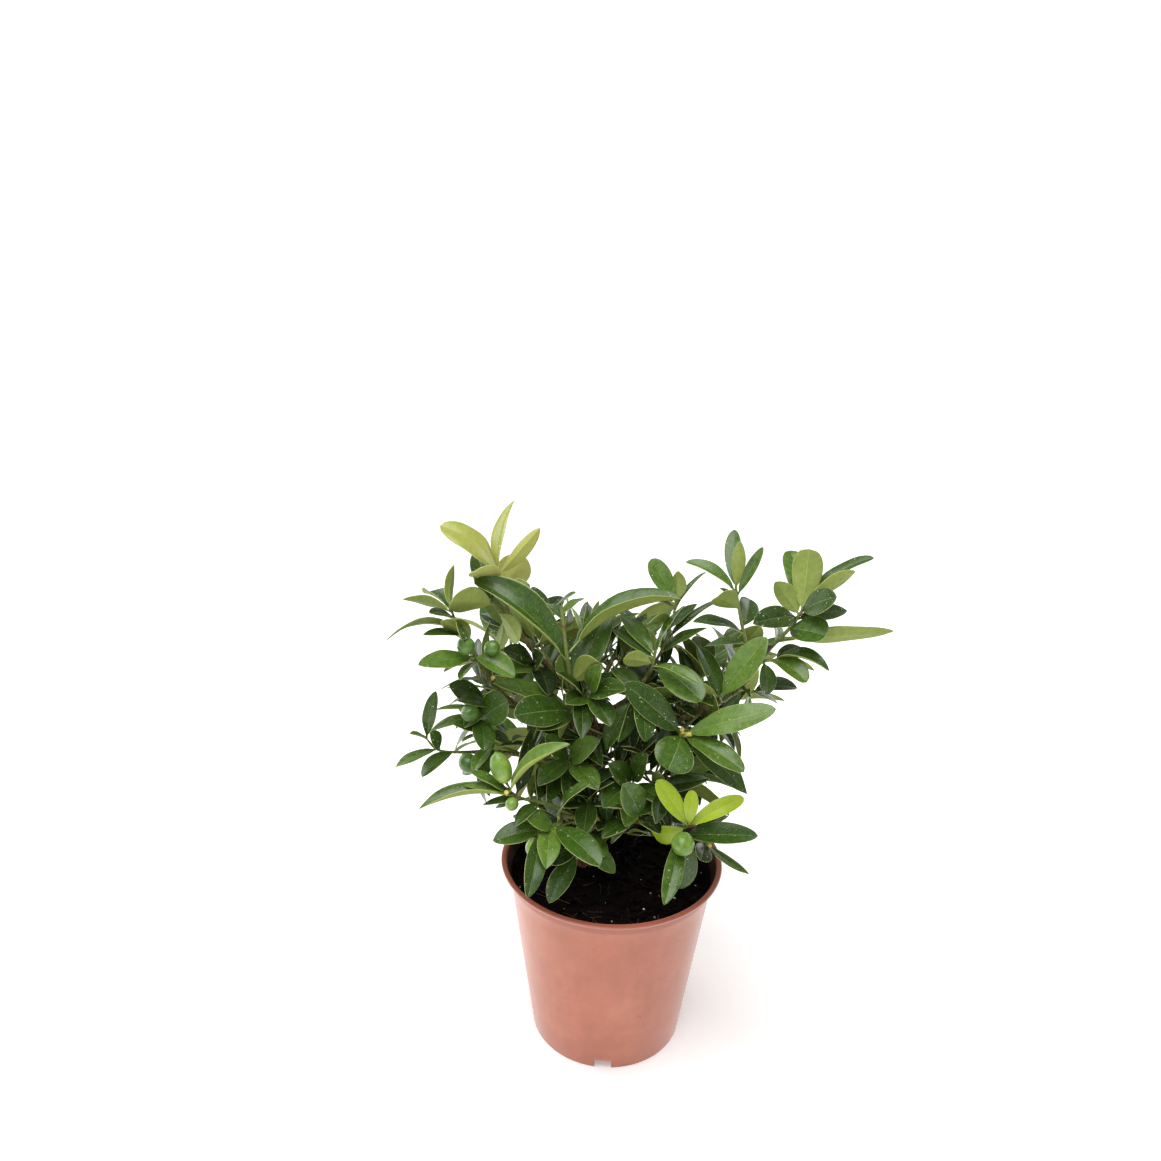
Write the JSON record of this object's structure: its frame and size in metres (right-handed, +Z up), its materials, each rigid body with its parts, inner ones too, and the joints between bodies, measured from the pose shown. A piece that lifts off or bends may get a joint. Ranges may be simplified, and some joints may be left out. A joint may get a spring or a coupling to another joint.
{
  "type": "potted limequat",
  "caption": "Small citrus bush with glossy leaves and unripe green fruits, growing in a round, tapered plastic nursery pot with a flared lip.",
  "frame": {"origin": "on the ground at the middle of the pot's base", "axes": "+Z up along the pot's axis, -Y towards the front of the bush"},
  "size_m": [0.3902, 0.2884, 0.472],
  "materials": {
    "pot_plastic": "satin",
    "soil": "matte",
    "bark": "matte",
    "leaf": "satin",
    "flush_leaf": "satin",
    "fruit": "satin"
  },
  "bodies": {
    "root": {"pot": "pot_plastic", "soil": "soil", "trunk_and_branches": "bark", "flush_low_right": "flush_leaf", "flush_top_left": "flush_leaf", "fruit_far_left_low_1": "fruit", "fruit_front_fan_1": "fruit", "fruit_front_fan_2": "fruit", "fruit_front_rosette_1": "fruit", "fruit_front_rosette_2": "fruit", "fruit_left_mid_1": "fruit", "fruit_left_mid_2": "fruit", "fruit_left_mid_low_1": "fruit", "fruit_low_right_1": "fruit", "shoot_back_1": "leaf", "shoot_back_10": "leaf", "shoot_back_11": "leaf", "shoot_back_12": "leaf", "shoot_back_3": "leaf", "shoot_back_4": "leaf", "shoot_back_5": "leaf", "shoot_back_6": "leaf", "shoot_back_7": "leaf", "shoot_back_8": "leaf", "shoot_back_9": "leaf", "shoot_centre": "leaf", "shoot_centre_top": "leaf", "shoot_far_left_low": "leaf", "shoot_front_fan": "leaf", "shoot_front_low": "leaf", "shoot_front_middle": "leaf", "shoot_front_rosette": "leaf", "shoot_inner_1": "leaf", "shoot_inner_2": "leaf", "shoot_inner_3": "leaf", "shoot_inner_5": "leaf", "shoot_inner_6": "leaf", "shoot_inner_7": "leaf", "shoot_inner_left": "leaf", "shoot_inner_low_left": "leaf", "shoot_inner_low_right": "leaf", "shoot_inner_right": "leaf", "shoot_inner_top": "leaf", "shoot_left_dark": "leaf", "shoot_left_far": "leaf", "shoot_left_inner": "leaf", "shoot_left_mid": "leaf", "shoot_left_mid_low": "leaf", "shoot_left_top": "leaf", "shoot_low_right": "leaf", "shoot_middle": "leaf", "shoot_middle_low": "leaf", "shoot_right_crown": "leaf", "shoot_right_low": "leaf", "shoot_right_node": "leaf", "shoot_right_pair": "leaf", "shoot_right_under": "leaf", "shoot_top_left_back": "leaf", "shoot_top_middle": "leaf", "shoot_top_right": "leaf"}
  },
  "joints": []
}
